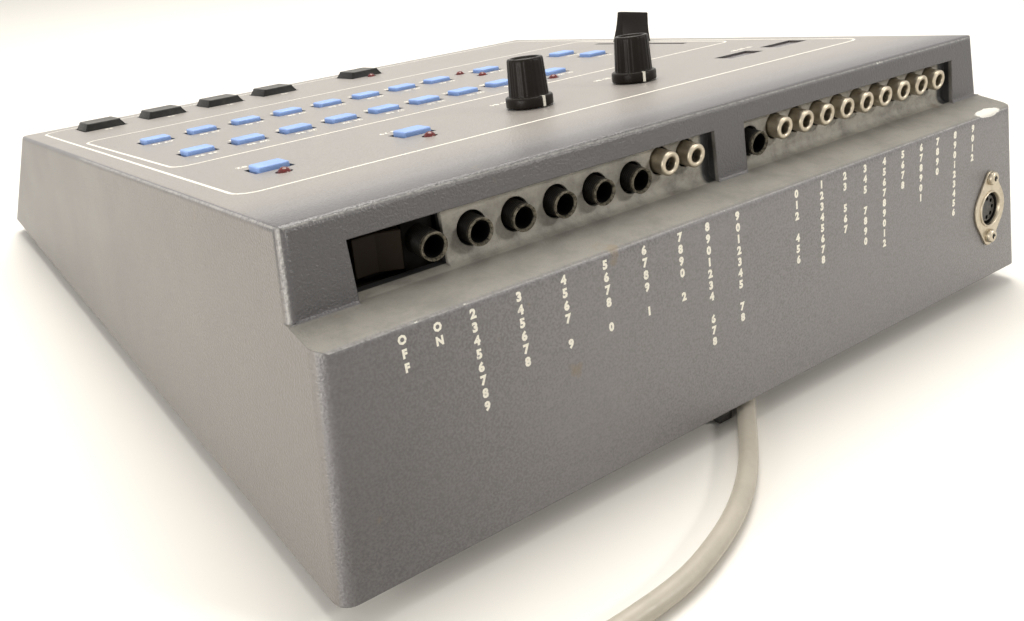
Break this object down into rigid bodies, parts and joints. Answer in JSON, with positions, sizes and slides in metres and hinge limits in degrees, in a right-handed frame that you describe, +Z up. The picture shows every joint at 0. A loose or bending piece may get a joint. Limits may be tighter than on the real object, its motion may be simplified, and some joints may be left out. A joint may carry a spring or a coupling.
{
  "type": "drum machine",
  "caption": "Wedge-shaped desktop drum machine with keys, pads, knobs and a slider on a sloping panel, jacks behind a rear ledge, and a coiled mains cord.",
  "frame": {"origin": "centre of the case's footprint, on the surface that the feet stand on", "axes": "+X to the player's right, +Y to the rear, where the jacks are, +Z up"},
  "size_m": [0.3571, 0.532, 0.1085],
  "materials": {
    "case_paint": "fine textured blue-grey paint over moulded plastic, worn at the edges",
    "plate_steel": "grey painted sheet steel",
    "foot_rubber": "black rubber",
    "screw_steel": "zinc plated steel",
    "black_plastic": "black moulded plastic",
    "cord_vinyl": "grey vinyl",
    "circuit_board": "green solder mask",
    "post_brass": "turned brass",
    "lamp_red": "dark red diffuse lens",
    "digit_grey": "grey moulding",
    "display_filter": "very dark red filter",
    "pot_metal": "pressed steel",
    "phono_nickel": "dull nickel plating",
    "core_steel": "dark varnished laminations",
    "sink_aluminium": "plain aluminium",
    "capacitor_sleeve": "dark blue sleeve",
    "chip_black": "black epoxy",
    "ribbon_grey": "grey ribbon cable",
    "knob_plastic": "black moulded plastic, satin",
    "key_blue": "light blue moulded plastic",
    "pad_black": "black moulded pad"
  },
  "bodies": {
    "case": {"top_shell": "case_paint", "base_plate": "plate_steel", "feet": "foot_rubber", "screws": "screw_steel", "strain_relief": "black_plastic", "power_cord": "cord_vinyl", "cord_coil": "cord_vinyl", "power_plug": "cord_vinyl", "main_board": "circuit_board", "jack_board": "circuit_board", "panel_board": "circuit_board", "board_posts": "post_brass", "key_switches": "black_plastic", "lamps": "lamp_red", "display_digits": "digit_grey", "display_windows": "display_filter", "knob_pots": "pot_metal", "slide_pot": "pot_metal", "jacks": "black_plastic", "phono_shells": "phono_nickel", "phono_cores": "black_plastic", "din_flange": "phono_nickel", "din_insert": "black_plastic", "switch_housing": "black_plastic", "transformer": "core_steel", "heat_sink": "sink_aluminium", "capacitors": "capacitor_sleeve", "chips": "chip_black", "ribbon_cables": "ribbon_grey"},
    "rocker": {"rocker": "black_plastic"},
    "slider": {"slider": "knob_plastic"},
    "knob_1": {"knob_1": "knob_plastic"},
    "knob_2": {"knob_2": "knob_plastic"},
    "rear_key_1": {"rear_key_1": "key_blue"},
    "rear_key_2": {"rear_key_2": "key_blue"},
    "rear_key_3": {"rear_key_3": "key_blue"},
    "rear_key_4": {"rear_key_4": "key_blue"},
    "rear_key_5": {"rear_key_5": "key_blue"},
    "rear_key_6": {"rear_key_6": "key_blue"},
    "rear_key_7": {"rear_key_7": "key_blue"},
    "rear_key_8": {"rear_key_8": "key_blue"},
    "rear_key_9": {"rear_key_9": "key_blue"},
    "front_key_1": {"front_key_1": "key_blue"},
    "front_key_2": {"front_key_2": "key_blue"},
    "front_key_3": {"front_key_3": "key_blue"},
    "front_key_4": {"front_key_4": "key_blue"},
    "front_key_5": {"front_key_5": "key_blue"},
    "front_key_6": {"front_key_6": "key_blue"},
    "front_key_7": {"front_key_7": "key_blue"},
    "front_key_8": {"front_key_8": "key_blue"},
    "front_key_9": {"front_key_9": "key_blue"},
    "side_key_1": {"side_key_1": "key_blue"},
    "side_key_2": {"side_key_2": "key_blue"},
    "transport_key_1": {"transport_key_1": "key_blue"},
    "transport_key_2": {"transport_key_2": "key_blue"},
    "drum_pad_1": {"drum_pad_1": "pad_black"},
    "drum_pad_2": {"drum_pad_2": "pad_black"},
    "drum_pad_3": {"drum_pad_3": "pad_black"},
    "drum_pad_4": {"drum_pad_4": "pad_black"},
    "run_pad": {"run_pad": "pad_black"}
  },
  "joints": [
    {"name": "rear_key_1_press", "type": "slide", "parent": "case", "child": "rear_key_1", "axis": [0, 0.1206, -0.9927], "range_m": [0, 0.001], "stiffness_N_per_m": 300},
    {"name": "rear_key_2_press", "type": "slide", "parent": "case", "child": "rear_key_2", "axis": [0, 0.1206, -0.9927], "range_m": [0, 0.001], "stiffness_N_per_m": 300},
    {"name": "rear_key_3_press", "type": "slide", "parent": "case", "child": "rear_key_3", "axis": [0, 0.1206, -0.9927], "range_m": [0, 0.001], "stiffness_N_per_m": 300},
    {"name": "rear_key_4_press", "type": "slide", "parent": "case", "child": "rear_key_4", "axis": [0, 0.1206, -0.9927], "range_m": [0, 0.001], "stiffness_N_per_m": 300},
    {"name": "rear_key_5_press", "type": "slide", "parent": "case", "child": "rear_key_5", "axis": [0, 0.1206, -0.9927], "range_m": [0, 0.001], "stiffness_N_per_m": 300},
    {"name": "rear_key_6_press", "type": "slide", "parent": "case", "child": "rear_key_6", "axis": [0, 0.1206, -0.9927], "range_m": [0, 0.001], "stiffness_N_per_m": 300},
    {"name": "rear_key_7_press", "type": "slide", "parent": "case", "child": "rear_key_7", "axis": [0, 0.1206, -0.9927], "range_m": [0, 0.001], "stiffness_N_per_m": 300},
    {"name": "rear_key_8_press", "type": "slide", "parent": "case", "child": "rear_key_8", "axis": [0, 0.1206, -0.9927], "range_m": [0, 0.001], "stiffness_N_per_m": 300},
    {"name": "rear_key_9_press", "type": "slide", "parent": "case", "child": "rear_key_9", "axis": [0, 0.1206, -0.9927], "range_m": [0, 0.001], "stiffness_N_per_m": 300},
    {"name": "front_key_1_press", "type": "slide", "parent": "case", "child": "front_key_1", "axis": [0, 0.1206, -0.9927], "range_m": [0, 0.001], "stiffness_N_per_m": 300},
    {"name": "front_key_2_press", "type": "slide", "parent": "case", "child": "front_key_2", "axis": [0, 0.1206, -0.9927], "range_m": [0, 0.001], "stiffness_N_per_m": 300},
    {"name": "front_key_3_press", "type": "slide", "parent": "case", "child": "front_key_3", "axis": [0, 0.1206, -0.9927], "range_m": [0, 0.001], "stiffness_N_per_m": 300},
    {"name": "front_key_4_press", "type": "slide", "parent": "case", "child": "front_key_4", "axis": [0, 0.1206, -0.9927], "range_m": [0, 0.001], "stiffness_N_per_m": 300},
    {"name": "front_key_5_press", "type": "slide", "parent": "case", "child": "front_key_5", "axis": [0, 0.1206, -0.9927], "range_m": [0, 0.001], "stiffness_N_per_m": 300},
    {"name": "front_key_6_press", "type": "slide", "parent": "case", "child": "front_key_6", "axis": [0, 0.1206, -0.9927], "range_m": [0, 0.001], "stiffness_N_per_m": 300},
    {"name": "front_key_7_press", "type": "slide", "parent": "case", "child": "front_key_7", "axis": [0, 0.1206, -0.9927], "range_m": [0, 0.001], "stiffness_N_per_m": 300},
    {"name": "front_key_8_press", "type": "slide", "parent": "case", "child": "front_key_8", "axis": [0, 0.1206, -0.9927], "range_m": [0, 0.001], "stiffness_N_per_m": 300},
    {"name": "front_key_9_press", "type": "slide", "parent": "case", "child": "front_key_9", "axis": [0, 0.1206, -0.9927], "range_m": [0, 0.001], "stiffness_N_per_m": 300},
    {"name": "side_key_1_press", "type": "slide", "parent": "case", "child": "side_key_1", "axis": [0, 0.1206, -0.9927], "range_m": [0, 0.001], "stiffness_N_per_m": 300},
    {"name": "side_key_2_press", "type": "slide", "parent": "case", "child": "side_key_2", "axis": [0, 0.1206, -0.9927], "range_m": [0, 0.001], "stiffness_N_per_m": 300},
    {"name": "transport_key_1_press", "type": "slide", "parent": "case", "child": "transport_key_1", "axis": [0, 0.1206, -0.9927], "range_m": [0, 0.001], "stiffness_N_per_m": 300},
    {"name": "transport_key_2_press", "type": "slide", "parent": "case", "child": "transport_key_2", "axis": [0, 0.1206, -0.9927], "range_m": [0, 0.001], "stiffness_N_per_m": 300},
    {"name": "drum_pad_1_press", "type": "slide", "parent": "case", "child": "drum_pad_1", "axis": [0, 0.1206, -0.9927], "range_m": [0, 0.0015], "stiffness_N_per_m": 500},
    {"name": "drum_pad_2_press", "type": "slide", "parent": "case", "child": "drum_pad_2", "axis": [0, 0.1206, -0.9927], "range_m": [0, 0.0015], "stiffness_N_per_m": 500},
    {"name": "drum_pad_3_press", "type": "slide", "parent": "case", "child": "drum_pad_3", "axis": [0, 0.1206, -0.9927], "range_m": [0, 0.0015], "stiffness_N_per_m": 500},
    {"name": "drum_pad_4_press", "type": "slide", "parent": "case", "child": "drum_pad_4", "axis": [0, 0.1206, -0.9927], "range_m": [0, 0.0015], "stiffness_N_per_m": 500},
    {"name": "run_pad_press", "type": "slide", "parent": "case", "child": "run_pad", "axis": [0, 0.1206, -0.9927], "range_m": [0, 0.0015], "stiffness_N_per_m": 500},
    {"name": "knob_1_turn", "type": "hinge", "parent": "case", "child": "knob_1", "pos_m": [0.0176, 0.09401, 0.09048], "axis": [0, -0.1206, 0.9927], "range_deg": [-165, 135]},
    {"name": "knob_2_turn", "type": "hinge", "parent": "case", "child": "knob_2", "pos_m": [-0.0338, 0.09401, 0.09048], "axis": [0, -0.1206, 0.9927], "range_deg": [-150, 150]},
    {"name": "slider_slide", "type": "slide", "parent": "case", "child": "slider", "axis": [0, 0.9927, 0.1206], "range_m": [-0.025, 0.035]},
    {"name": "rocker_tilt", "type": "hinge", "parent": "case", "child": "rocker", "pos_m": [0.1194, 0.15749, 0.084], "axis": [0, 0, 1], "range_deg": [0, 22]}
  ]
}
